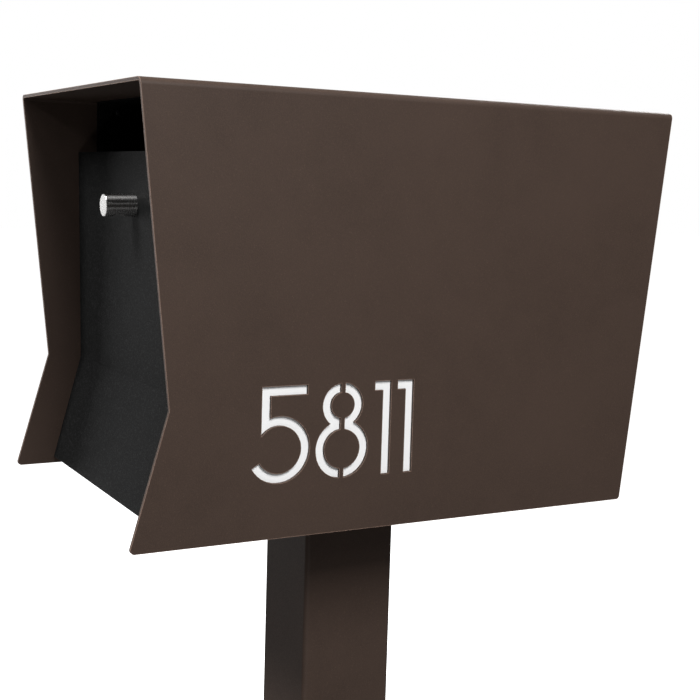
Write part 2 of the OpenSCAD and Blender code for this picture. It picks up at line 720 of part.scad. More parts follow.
module rear_door_rivets() color("#8c8c8c") in_box() at_rear_door_rivets() rivet(leaf_t + door_t);
module rear_frame_leaf() color("#3a3a3a") in_box() at_rear_axis() floor_side() difference() {
    leaf(rear_hinge_l, 0, body_drop);
    at_leaf_rivets(rear_hinge_l, rear_spots, body_drop) rivet_hole(leaf_t + liner_t);
}
module rear_frame_rivets() color("#8c8c8c") in_box() at_rear_frame_rivets() rivet(leaf_t + liner_t);
module rear_hinge_pin() color("silver") in_box() at_rear_axis() rotate([0, 90, 0])
    cylinder(h = rear_hinge_l, r = pin_r, center = true);
module rear_bumpers() color("black") in_box() for (z = [0.22, 0.78])
    translate([wall_in - 7, frame_y, floor_top + z * (roof_z - floor_top)]) rotate([-90, 0, 0])
        cylinder(h = rear_y - door_t - air - frame_y, r1 = 6, r2 = 5);

/* Cam lock, with its key in and its cam clear of the frame */
module at_lock() translate([lock_x, rear_y, lock_z]) rotate([-90, 0, 0]) children();
module lock_body() color("#c8c8c8") in_box() at_lock() difference() {
    union() {
        cylinder(h = bezel_h, r1 = barrel_r + bezel_w, r2 = barrel_r + bezel_w - 1);
        translate([0, 0, -barrel_l]) cylinder(h = barrel_l + 1, r = barrel_r);
    }
    translate([0, 0, -barrel_l - cut]) cylinder(h = barrel_l + bezel_h + 2 * cut, r = plug_r + run);
}
module lock_nut() color("silver") in_box() at_lock()
    translate([0, 0, -door_t - lock_nut_h]) nut(24, lock_nut_h, barrel_r + run);
module lock_plug() color("#b8b8b8") in_box() at_lock() difference() {
    translate([0, 0, cam_z + cam_t]) cylinder(h = bezel_h - cam_z - cam_t, r = plug_r);
    translate([-key_t / 2 - slip, -key_w / 2 - slip, -key_in - 1])
        cube([key_t + 2 * slip, key_w + 2 * slip, 2 * key_in]);
    translate([0, 0, -barrel_l - cut]) cylinder(h = 8, r = small_r + slip);
}
module lock_cam() color("silver") in_box() at_lock() translate([0, 0, cam_z]) difference() {
    cam_r = 8;
    union() {
        cylinder(h = cam_t, r = cam_r);
        translate([-cam_r, -cam_reach, 0]) cube([2 * cam_r, cam_reach, cam_t]);
    }
    translate([0, 0, -cut]) cylinder(h = cam_t + 2 * cut, r = small_r + slip);
}
module cam_screw() color("silver") in_box() at_lock() translate([0, 0, cam_z]) {
    translate([0, 0, -2.5]) cylinder(h = 2.5, r1 = screw_head_r - 1, r2 = screw_head_r);
    translate([0, 0, -0.5]) cylinder(h = 8.5, r = small_r);
}
module key() color("#b59a55") in_box() at_lock() {
    translate([-key_t / 2, -key_w / 2, -key_in]) cube([key_t, key_w, key_in + 7]);
    translate([-key_t / 2, 0, 1.5 * bow_r]) rotate([0, 90, 0]) difference() {
        cylinder(h = key_t, r = bow_r);
        translate([-bow_r / 2, 0, -cut]) cylinder(h = key_t + 2 * cut, r = bow_r / 4);
    }
}

/* Post */
module tube_section(w, r) {
    for (a = [0, 90])
        rotate(a) square([w, w - 2 * r], center = true);
    for (x = [-1, 1], y = [-1, 1])
        translate([x * (w / 2 - r), y * (w / 2 - r)]) circle(r);
}
module post_tube() color("#3f322b") translate([0, 0, base_t]) linear_extrude(post_h) difference() {
    tube_section(post_w, post_r);
    tube_section(post_w - 2 * post_t, post_r - post_t);
}
module post_head_plate() color("#3f322b") translate([0, 0, head_z]) difference() {
    translate([-head_w / 2, -head_w / 2, 0]) cube([head_w, head_w, head_t]);
    at_head_bolts() translate([0, 0, -cut]) cylinder(h = head_t + 2 * cut, r = bolt_r + bolt_slack);
}
module base_plate() color("#3f322b") difference() {
    translate([-base_w / 2, -base_w / 2, 0]) cube([base_w, base_w, base_t]);
    for (x = [-1, 1], y = [-1, 1])
        translate([x * anchor_pitch / 2, y * anchor_pitch / 2, -cut])
            cylinder(h = base_t + 2 * cut, d = anchor_d);
}
// The bolts stand on the floor pan, so they are placed in the box's frame with it
module on_floor() in_box() translate([0, head_y, floor_top]) at_head_bolts() children();
module head_bolts() color("silver") on_floor() {
    grip = head_t + floor_t + bolt_tail;
    translate([0, 0, washer_t]) hex(bolt_flats, bolt_head_h);
    translate([0, 0, -grip]) cylinder(h = grip + washer_t + 1, r = bolt_r);
}
module head_washers() color("silver") on_floor() difference() {
    cylinder(h = washer_t, r = washer_r);
    translate([0, 0, -cut]) cylinder(h = washer_t + 2 * cut, r = bolt_r + 2 * slip);
}
module head_nuts() color("silver") translate([0, 0, head_z - bolt_nut_h]) at_head_bolts()
    nut(bolt_flats, bolt_nut_h, bolt_r + slip);

cover_shell();
number_backer();
backer_nuts();
floor_pan();
left_liner();
right_liner();
roof_liner();
front_frame();
rear_frame();
box_rivets();
cover_screws();
letter_chute();
chute_screws();
security_flap();
flap_rod();
flap_bushings();
rod_clips();
flap_bumpers();
front_door();
door_leaf();
door_nuts();
sill_leaf();
sill_rivets();
door_hinge_pin();
door_bumpers();
door_magnets();
pull_knob();
knob_screw();
knob_washer();
knob_set_screw();
rear_door();
rear_door_leaf();
rear_door_rivets();
rear_frame_leaf();
rear_frame_rivets();
rear_hinge_pin();
rear_bumpers();
lock_body();
lock_nut();
lock_plug();
lock_cam();
cam_screw();
key();
post_head_plate();
post_tube();
base_plate();
head_bolts();
head_nuts();
head_washers();
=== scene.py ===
"""Dresses the parcel drop box: its coats, metals, fasteners and light, around the fixed frame."""
import json
import math

import bmesh
import bpy
from bpy.props import FloatProperty, FloatVectorProperty, PointerProperty
from mathutils import Matrix, Vector
from mathutils.geometry import delaunay_2d_cdt


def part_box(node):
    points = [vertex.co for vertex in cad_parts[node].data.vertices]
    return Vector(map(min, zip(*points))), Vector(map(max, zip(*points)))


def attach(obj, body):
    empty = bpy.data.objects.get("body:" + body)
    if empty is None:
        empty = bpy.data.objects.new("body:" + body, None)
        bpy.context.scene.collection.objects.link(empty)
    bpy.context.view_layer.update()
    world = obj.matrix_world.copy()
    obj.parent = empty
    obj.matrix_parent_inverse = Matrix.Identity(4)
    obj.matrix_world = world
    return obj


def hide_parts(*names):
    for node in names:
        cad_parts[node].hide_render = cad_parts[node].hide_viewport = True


bl_info = {
    "name": "Parcel Drop Box",
    "version": (1, 0, 0),
    "blender": (4, 5, 0),
    "location": "View3D > Sidebar > Drop Box",
    "description": "Builds the finished look of a post-mounted parcel drop box",
    "category": "Object",
}

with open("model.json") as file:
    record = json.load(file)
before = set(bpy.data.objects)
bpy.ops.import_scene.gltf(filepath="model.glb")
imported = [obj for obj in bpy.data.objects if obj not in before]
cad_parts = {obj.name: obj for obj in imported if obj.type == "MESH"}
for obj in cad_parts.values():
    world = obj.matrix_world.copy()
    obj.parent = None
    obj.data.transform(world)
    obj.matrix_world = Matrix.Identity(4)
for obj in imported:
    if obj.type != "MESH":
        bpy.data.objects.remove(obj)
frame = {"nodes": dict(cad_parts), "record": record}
NODES = frame["nodes"]
BODY_OF = {n: b for b, names in frame["record"]["behaviour"]["bodies"].items() for n in names}
SLOT_OF = {s["node"]: s["material_slot"] for s in frame["record"]["subparts"]}
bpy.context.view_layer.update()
MM = 0.001
CREASE = 35  # degrees; an edge that turns more than this is sharp
EDGE_REACH = 0.0012  # how far the paler edge, part wear and part painted highlight, runs in from an edge
RIVET_HEAD = 1.1 * MM
RIVET_ENDS = 2.3 * MM  # a rivet's head and the tail behind the sheets
BOLT_HEAD = 5.3 * MM
# Each screw's head height, shank radius and thread pitch
KNOB_SCREW = (3 * MM, 2.5 * MM, 0.8 * MM)
CAM_SCREW = (2.5 * MM, 2 * MM, 0.7 * MM)
COVER_SCREW = (2.6 * MM, 2 * MM, 0.7 * MM)
# Each nut's size across its flats, height and bore radius
SMALL_NUT = (7 * MM, 3 * MM, 2.1 * MM)
POST_NUT = (13 * MM, 6.5 * MM, 4.1 * MM)
LOCK_NUT = (24 * MM, 4 * MM, 9.05 * MM)
FLOOR_REACH = 30
FLOOR_GLOW = 0.95
FLOOR_BOUNCE = (0.16, 0.16, 0.16, 1)
AIM = Vector((0, 0, 1.25))
# Each light's name, place, width and height, and the setting that holds its power
SOFTBOXES = (
    ("front_softbox", (-0.5, -2.3, 4.0), (1.6, 1.2), "front_light"),
    ("side_softbox", (2.3, -0.3, 2.8), (0.8, 1.0), "side_light"),
    ("left_softbox", (-2.2, -0.95, 1.3), (0.7, 1.4), "left_light"),
    ("rear_softbox", (-1.3, 2.8, 2.6), (1.6, 1.6), "rear_light"),
    ("upper_strip", (2.2, -1.25, 2.0), (0.16, 0.16), "strip_light"),
    ("lower_strip", (2.0, -1.15, 0.2), (0.16, 0.16), "strip_light"),
)


# ---------------------------------------------------------------- settings

class DropBoxFinish(bpy.types.PropertyGroup):
    """Colours and textures of the finishes"""

    bronze: FloatVectorProperty(
        name="Bronze coat", description="Colour of the cover and post", subtype="COLOR",
        size=3, min=0, max=1, default=(0.050, 0.033, 0.0255))
    black: FloatVectorProperty(
        name="Black coat", description="Colour of the doors and the inner box", subtype="COLOR",
        size=3, min=0, max=1, default=(0.0056, 0.0057, 0.0057))
    grain: FloatProperty(
        name="Coat grain", description="Size of the powder coat's grain", unit="LENGTH",
        min=0.0002, max=0.003, default=0.0009)
    grain_depth: FloatProperty(
        name="Grain depth", description="Height of the powder coat's grain", unit="LENGTH",
        min=0, max=0.001, default=0.00012)
    # How pale the edges get: part real wear, part painted highlight on the edges.
    edge_wear_and_highlight: FloatProperty(
        name="Edge wear", description="How much lighter the coat is along its edges",
        subtype="FACTOR", min=0, max=1, default=0.85)


class DropBoxSizes(bpy.types.PropertyGroup):
    """Sizes of the small detail"""

    sheet_edge: FloatProperty(
        name="Sheet edge", description="Rounding of the cover's edges under its coat",
        unit="LENGTH", min=0.0001, max=0.0015, default=0.0006)
    thin_edge: FloatProperty(
        name="Thin sheet edge", description="Rounding of the inner sheets' edges",
        unit="LENGTH", min=0.0001, max=0.0007, default=0.00035)
    door_edge: FloatProperty(
        name="Door edge", description="Rounding where the doors' sheet is folded", unit="LENGTH",
        min=0.0001, max=0.00095, default=0.0008)
    rivet_head: FloatProperty(
        name="Rivet head", description="Radius of a rivet's head", unit="LENGTH",
        min=0.002, max=0.005, default=0.0032)
    weld: FloatProperty(
        name="Weld leg", description="Radius of the weld beads on the post", unit="LENGTH",
        min=0.001, max=0.006, default=0.003)
    thread_pitch: FloatProperty(
        name="Thread pitch", description="Pitch of the bolts' threads", unit="LENGTH",
        min=0.0005, max=0.003, default=0.00125)


class DropBoxStage(bpy.types.PropertyGroup):
    """Light and camera"""

    camera_at: FloatVectorProperty(
        name="Camera", description="Where the camera stands", subtype="TRANSLATION",
        size=3, default=(1.2334, -0.6401, 1.3607))
    heading: FloatProperty(
        name="Heading", description="Camera's turn from straight along +Y", subtype="ANGLE",
        default=math.radians(60.223))
    pitch: FloatProperty(
        name="Pitch", description="How far the camera looks down", subtype="ANGLE",
        default=math.radians(5.304))
    roll: FloatProperty(
        name="Roll", description="Camera's turn about its own axis", subtype="ANGLE",
        default=math.radians(1.844))
    lens: FloatProperty(
        name="Lens", description="Focal length, mm on a 36 mm frame", min=20, max=200,
        default=67.54)
    shift_x: FloatProperty(
        name="Shift across", description="Lens shift across, in frame widths", min=-1, max=1,
        default=-0.0553)
    shift_y: FloatProperty(
        name="Shift up", description="Lens shift upwards, in frame widths", min=-1, max=1,
        default=-0.0645)
    ambient: FloatProperty(
        name="Ambient", description="Strength of the light from all round", min=0, max=3,
        default=0.1)
    front_light: FloatProperty(
        name="Front light", description="Power of the softbox high in front", min=0, max=2000,
        default=220)
    side_light: FloatProperty(
        name="Side light", description="Power of the softbox on the number side", min=0,
        max=2000, default=78)
    left_light: FloatProperty(
        name="Left light", description="Power of the tall softbox on the far side", min=0,
        max=2000, default=8)
    rear_light: FloatProperty(
        name="Rear light", description="Power of the softbox behind the box", min=0, max=2000,
        default=150)
    strip_light: FloatProperty(
        name="Strip light", description="Power of each strip light beside the camera", min=0,
        max=500, default=3)


# ---------------------------------------------------------------- shader helpers

def new_material(name):
    """A material with one Principled shader, and its object coordinates."""
    mat = bpy.data.materials.new(name)
    mat.use_nodes = True
    tree = mat.node_tree
    tree.nodes.clear()
    out = tree.nodes.new("ShaderNodeOutputMaterial")
    bsdf = tree.nodes.new("ShaderNodeBsdfPrincipled")
    tree.links.new(bsdf.outputs["BSDF"], out.inputs["Surface"])
    coords = tree.nodes.new("ShaderNodeTexCoord")
    return mat, tree, bsdf, coords.outputs["Object"]


def noise(tree, vector, scale, detail=2.0, rough=0.5):
    """Cloudy noise from 0 to 1; a larger scale makes it finer."""
    node = tree.nodes.new("ShaderNodeTexNoise")
    node.inputs["Scale"].default_value = scale
    node.inputs["Detail"].default_value = detail
    node.inputs["Roughness"].default_value = rough
    tree.links.new(vector, node.inputs["Vector"])
    return node.outputs["Fac"]


def stretched(tree, vector, scale):
    """Coordinates scaled apart along each axis."""
    node = tree.nodes.new("ShaderNodeMapping")
    node.inputs["Scale"].default_value = scale
    tree.links.new(vector, node.inputs["Vector"])
    return node.outputs["Vector"]


def remap(tree, value, low, high, to_low, to_high):
    """A value carried from one range to another, held at its ends."""
    node = tree.nodes.new("ShaderNodeMapRange")
    ends = {"From Min": low, "From Max": high, "To Min": to_low, "To Max": to_high}
    for key, number in ends.items():
        node.inputs[key].default_value = number
    tree.links.new(value, node.inputs["Value"])
    return node.outputs["Result"]


def blended(tree, factor, first, second):
    """Mixes two colours, each a socket or a plain colour."""
    node = tree.nodes.new("ShaderNodeMix")
    node.data_type = "RGBA"
    tree.links.new(factor, node.inputs[0])
    for index, colour in ((6, first), (7, second)):
        if isinstance(colour, bpy.types.NodeSocket):
            tree.links.new(colour, node.inputs[index])
        else:
            node.inputs[index].default_value = (*colour[:3], 1)
    return node.outputs[2]


def maths(tree, operation, first, second):
    """One sum on two values, each a socket or a number."""
    node = tree.nodes.new("ShaderNodeMath")
    node.operation = operation
    for index, value in enumerate((first, second)):
        if isinstance(value, bpy.types.NodeSocket):
            tree.links.new(value, node.inputs[index])
        else:
            node.inputs[index].default_value = value
    return node.outputs[0]


def bumped(tree, bsdf, height, distance, strength):
    """Gives a shader fine relief."""
    node = tree.nodes.new("ShaderNodeBump")
    node.inputs["Strength"].default_value = strength
    node.inputs["Distance"].default_value = distance
    tree.links.new(height, node.inputs["Height"])
    tree.links.new(node.outputs["Normal"], bsdf.inputs["Normal"])


def edge_mask(tree, radius):
    """Is 1 on edges that a fingertip would feel, 0 on flat faces."""
    bevel = tree.nodes.new("ShaderNodeBevel")
    bevel.samples = 4
    bevel.inputs["Radius"].default_value = radius
    geometry = tree.nodes.new("ShaderNodeNewGeometry")
    dot = tree.nodes.new("ShaderNodeVectorMath")
    dot.operation = "DOT_PRODUCT"
    tree.links.new(bevel.outputs["Normal"], dot.inputs[0])
    tree.links.new(geometry.outputs["Normal"], dot.inputs[1])
    return remap(tree, dot.outputs["Value"], 0.98, 0.8, 0.0, 1.0)


def picked(tree, chooser, first, second):
    """The first shader where the chooser is 0 and the second where it is 1."""
    node = tree.nodes.new("ShaderNodeMixShader")
    for index, socket in enumerate((chooser, first, second)):
        tree.links.new(socket, node.inputs[index])
    return node.outputs[0]


def seen_or_lit(tree, seen, lit):
    """One shader for what is seen straight away and another for the light that it throws."""
    ray = tree.nodes.new("ShaderNodeLightPath")
    return picked(tree, ray.outputs["Is Camera Ray"], lit, seen)


# ---------------------------------------------------------------- finishes

def shade(colour, factor):
    """A colour made lighter or darker."""
    return tuple(min(1, channel * factor) for channel in colour)


def powder_coat(name, colour, finish, sparkle, roughness, specular=0.18, wear_and_highlight_share=1.0):
    """Fine-textured powder coat: a pebbled grain, cloudy tone, bright flecks and paler edges, part wear and
    part painted highlight.
    """
    mat, tree, bsdf, place = new_material(name)
    grain = noise(tree, place, 1 / finish.grain, 2.5, 0.55)
    fine = noise(tree, place, 2.6 / finish.grain, 1.0)
    cloud = noise(tree, place, 9, 4, 0.6)
    patches = noise(tree, place, 38, 3, 0.6)
    clouded = remap(tree, cloud, 0.3, 0.7, 0, 1)
    tone = blended(tree, clouded, shade(colour, 0.9), shade(colour, 1.1))
    tone = blended(tree, remap(tree, patches, 0.35, 0.65, 0, 0.5), tone, shade(colour, 1.12))
    tone = blended(tree, remap(tree, grain, 0.4, 0.72, 0, 0.55), tone, shade(colour, 1.45))
    flecks = tree.nodes.new("ShaderNodeTexVoronoi")
    flecks.inputs["Scale"].default_value = 0.9 / finish.grain
    tree.links.new(place, flecks.inputs["Vector"])
    split = tree.nodes.new("ShaderNodeSeparateColor")
    tree.links.new(flecks.outputs["Color"], split.inputs["Color"])
    lit = maths(tree, "GREATER_THAN", split.outputs["Red"], 1 - 0.16 * sparkle)
    tone = blended(tree, maths(tree, "MULTIPLY", lit, 0.5 * sparkle), tone, shade(colour, 5))
    # Paler edges: part wear, part painted highlight where the rounded edges catch the light.
    edges = edge_mask(tree, EDGE_REACH)
    tone = blended(tree, maths(tree, "MULTIPLY", edges, finish.edge_wear_and_highlight * wear_and_highlight_share), tone, shade(colour, 7))
    tree.links.new(tone, bsdf.inputs["Base Color"])
    sheen = remap(tree, grain, 0.3, 0.7, roughness + 0.07, roughness - 0.07)
    tree.links.new(sheen, bsdf.inputs["Roughness"])
    bsdf.inputs["Specular IOR Level"].default_value = specular
    height = maths(tree, "ADD", grain, maths(tree, "MULTIPLY", fine, 0.35))
    bumped(tree, bsdf, height, finish.grain_depth, 0.8)
    return mat


def metal(name, colour, roughness, stretch, streaks, scale, stain, turned=False):
    """Metal with fine streaks and a faint stain; a turned one shines across its turning marks."""
    mat, tree, bsdf, place = new_material(name)
    streak = noise(tree, stretched(tree, place, stretch), scale, 2, 0.6)
    cloud = noise(tree, place, 120, 3, 0.6)
    streaked = remap(tree, streak, 0.3, 0.7, 0, 1)
    tone = blended(tree, streaked, shade(colour, 0.93), shade(colour, 1.06))
    tone = blended(tree, remap(tree, cloud, 0.4, 0.75, 0, stain), tone, shade(colour, 0.55))
    tree.links.new(tone, bsdf.inputs["Base Color"])
    bsdf.inputs["Metallic"].default_value = 1.0
    sheen = remap(tree, streak, 0.3, 0.7, roughness - streaks, roughness + streaks)
    tree.links.new(sheen, bsdf.inputs["Roughness"])
    bumped(tree, bsdf, streak, 0.00002, 0.4)
    if turned:
        along = tree.nodes.new("ShaderNodeVectorTransform")
        along.convert_from, along.convert_to = "OBJECT", "WORLD"
        along.inputs[0].default_value = (0.05, 1, 0.03)
        tree.links.new(along.outputs[0], bsdf.inputs["Tangent"])
        bsdf.inputs["Anisotropic"].default_value = 0.9
    return mat


def plain_plastic(name, colour, roughness, grain=0.0006, depth=0.00004, mottling=0.06):
    """Moulded plastic, rubber or acrylic with a slight surface."""
    mat, tree, bsdf, place = new_material(name)
    cloud = noise(tree, place, 60, 3)
    skin = noise(tree, place, 1 / grain, 2)
    mottled = remap(tree, cloud, 0.3, 0.7, 0, 1)
    tone = blended(tree, mottled, shade(colour, 1 - mottling), shade(colour, 1 + mottling))
    tree.links.new(tone, bsdf.inputs["Base Color"])
    sheen = remap(tree, skin, 0.3, 0.7, roughness + 0.05, roughness - 0.05)
    tree.links.new(sheen, bsdf.inputs["Roughness"])
    bumped(tree, bsdf, skin, depth, 0.5)
    return mat


def make_finishes(finish):
    """Every finish of the box, under the name of its material slot."""
    bright = (0.62, 0.61, 0.6)
    return {
        "bronze_coat": powder_coat("bronze_powder_coat", finish.bronze, finish, 0.12, 0.5),
        "black_coat": powder_coat("black_powder_coat", finish.black, finish, 0.9, 0.6, 0.03, 0.3),
        "flap_steel": powder_coat("black_satin_coat", shade(finish.black, 1.4), finish, 0.1, 0.42),
        "white_acrylic": plain_plastic(
            "white_acrylic", (0.88, 0.88, 0.88), 0.25, depth=0.00001, mottling=0.01),
        "stainless": metal(
            "brushed_stainless", bright, 0.26, (0.05, 1, 0.05), 0.02, 5000, 0.05, turned=True),
        "zinc_steel": metal("zinc_plate", (0.5, 0.51, 0.53), 0.32, (1, 1, 1), 0.08, 500, 0.3),
        "black_steel": plain_plastic("black_oxide", (0.022, 0.022, 0.023), 0.38, 0.0003, 0.00003, 0.2),
        "nylon": plain_plastic("nylon", (0.72, 0.7, 0.62), 0.5),
        "rubber": plain_plastic("rubber", (0.018, 0.018, 0.018), 0.8, 0.0004, 0.00006, 0.2),
        "magnet": plain_plastic("magnet_strip", (0.05, 0.045, 0.04), 0.6, 0.0004, 0.00005, 0.2),
        "chrome": metal("polished_chrome", (0.72, 0.72, 0.72), 0.08, (1, 1, 1), 0.02, 700, 0.08),
        "brass": metal("key_brass", (0.62, 0.47, 0.22), 0.28, (1, 1, 0.1), 0.08, 800, 0.2),
    }


FINISHES = {}


def finish_of(node):
    """The finish of a node's slot."""
    return FINISHES[SLOT_OF[node]]


# ---------------------------------------------------------------- mesh helpers

def add_object(name, mesh):
    """A new piece in the scene."""
    piece = bpy.data.objects.new(name, mesh)
    bpy.context.scene.collection.objects.link(piece)
    return piece


def plain_mesh(piece, name):
    """Bakes a piece's modifiers into a plain mesh and drops them."""
    bpy.context.view_layer.update()
    graph = bpy.context.evaluated_depsgraph_get()
    mesh = bpy.data.meshes.new_from_object(piece.evaluated_get(graph), depsgraph=graph)
    mesh.name = name
    piece.modifiers.clear()
    piece.data = mesh


def merged(node, flat=0.2):
    """A copy of a node's mesh with its loose triangles joined and its flat faces cleaned up."""
    mesh = NODES[node].data.copy()
    work = bmesh.new()
    work.from_mesh(mesh)
    bmesh.ops.remove_doubles(work, verts=work.verts, dist=2e-6)
    bmesh.ops.dissolve_degenerate(work, edges=work.edges, dist=1e-6)
    bmesh.ops.dissolve_limit(work, angle_limit=math.radians(flat), verts=work.verts, edges=work.edges)
    work.to_mesh(mesh)
    work.free()
    mesh.materials.clear()
    return mesh


def settle(piece, node):
    """Gives a piece its finish and lets it stand for a node."""
    piece.data.materials.clear()
    piece.data.materials.append(finish_of(node))
    for face in piece.data.polygons:
        face.material_index = 0
    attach(piece, BODY_OF[node])
    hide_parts(node)


def flat_regions(work, crease):
    """The flat parts of a mesh that hold at least one face with many corners."""
    seen = set()
    regions = []
    for first in work.faces:
        if first.index in seen or len(first.verts) < 5:
            continue
        seen.add(first.index)
        region = [first]
        for face in region:
            for line in face.edges:
                for other in line.link_faces:
                    if other.index not in seen and first.normal.angle(other.normal, 9) < crease:
                        seen.add(other.index)
                        region.append(other)
        regions.append((region, first.normal.copy()))
    return regions


def within(cut, rim):
    """The triangles on the left of a directed rim, found from edge to edge."""
    beside = {}
    for i, corners in enumerate(cut):
        for k, start in enumerate(corners):
            beside[start, corners[(k + 1) % len(corners)]] = i
    found = list({beside[line]: None for line in rim if line in beside})
    seen = set(found)
    for i in found:
        corners = cut[i]
        for k, start in enumerate(corners):
            end = corners[(k + 1) % len(corners)]
            other = beside.get((end, start))
            if (start, end) not in rim and other is not None and other not in seen:
                seen.add(other)
                found.append(other)
    return [cut[i] for i in found]


def recut(mesh, crease=math.radians(0.1)):
    """Cuts the flat parts into clean triangles and keeps the shading of every other face."""
    facing = mesh.attributes.new("facing", "FLOAT_VECTOR", "CORNER")
    facing.data.foreach_set("vector", [c for n in mesh.corner_normals for c in n.vector])
    work = bmesh.new()
    work.from_mesh(mesh)
    work.faces.ensure_lookup_table()
    kept = work.loops.layers.float_vector["facing"]
    for region, outward in flat_regions(work, crease):
        inside = set(region)
        rim = [(loop.vert, loop.link_loop_next.vert) for face in region for loop in face.loops
               if sum(other in inside for other in loop.edge.link_faces) == 1]
        points = list({v: None for line in rim for v in line})
        number = {v: i for i, v in enumerate(points)}
        turn = outward.rotation_difference(Vector((0, 0, 1))).to_matrix()
        flat = [(turn @ v.co).to_2d() / MM for v in points]
        lines = [(number[a], number[b]) for a, b in rim]
        _, _, cut, origin, _, _ = delaunay_2d_cdt(flat, lines, [], 1, 1e-5)
        if any(len(o) != 1 for o in origin):
            continue
        cut = [tuple(origin[c][0] for c in corners) for corners in cut]
        bmesh.ops.delete(work, geom=region, context="FACES_KEEP_BOUNDARY")
        for corners in within(cut, set(lines)):
            face = work.faces.new([points[c] for c in corners])
            face.smooth = True
            for loop in face.loops:
                loop[kept] = outward
    work.to_mesh(mesh)
    work.free()
    facing = mesh.attributes["facing"]
    mesh.normals_split_custom_set([corner.vector for corner in facing.data])
    mesh.attributes.remove(facing)


def softened(node, edge, segments=3):
    """Stands for a node with its sharp edges rounded, as a coat or a deburring tool leaves them."""
    mesh = merged(node)
    piece = add_object(f"{node}_finished", mesh)
    for face in piece.data.polygons:
        face.use_smooth = True
    bevel = piece.modifiers.new("edges", "BEVEL")
    bevel.limit_method = "ANGLE"
    bevel.angle_limit = math.radians(CREASE)
    bevel.width = edge
    bevel.segments = segments
    bevel.miter_outer = "MITER_ARC"
    normals = piece.modifiers.new("normals", "WEIGHTED_NORMAL")
    normals.keep_sharp = True
    plain_mesh(piece, f"{node}_finished")
    recut(piece.data)
    settle(piece, node)


def separate_solids(node):
    """Each solid of a node, as its points and the direction of its largest flat face."""
    work = bmesh.new()
    work.from_mesh(merged(node))
    work.faces.ensure_lookup_table()
    seen = set()
    found = []
    for first in work.faces:
        if first.index in seen:
            continue
        seen.add(first.index)
        solid = [first]
        for face in solid:
            for edge in face.edges:
                for other in edge.link_faces:
                    if other.index not in seen:
                        seen.add(other.index)
                        solid.append(other)
        largest = max(solid, key=lambda face: face.calc_area())
        points = {v.index: v.co.copy() for face in solid for v in face.verts}
        found.append((list(points.values()), largest.normal.normalized()))
    work.free()
    return found


def round_spots(node):
    """The place, the direction towards the head and the length of each fastener in a node."""
    spots = []
    for points, axis in separate_solids(node):
        side = axis.orthogonal().normalized()
        other = axis.cross(side)
        middle = Vector()
        for way in (side, other):
            along = [p.dot(way) for p in points]
            middle += way * (min(along) + max(along)) / 2
        reach = [p.dot(axis) for p in points]
        out = [(p - middle - axis * p.dot(axis)).length for p in points]
        widest = max(out)
        head = [t for t, r in zip(reach, out) if r > 0.97 * widest]
        if sum(head) / len(head) < (min(reach) + max(reach)) / 2:
            axis = -axis
            reach = [-t for t in reach]
        spots.append({
            "top": middle + axis * max(reach), "axis": axis,
            "length": max(reach) - min(reach), "radius": widest})
    return spots


# ---------------------------------------------------------------- Geometry Nodes kit

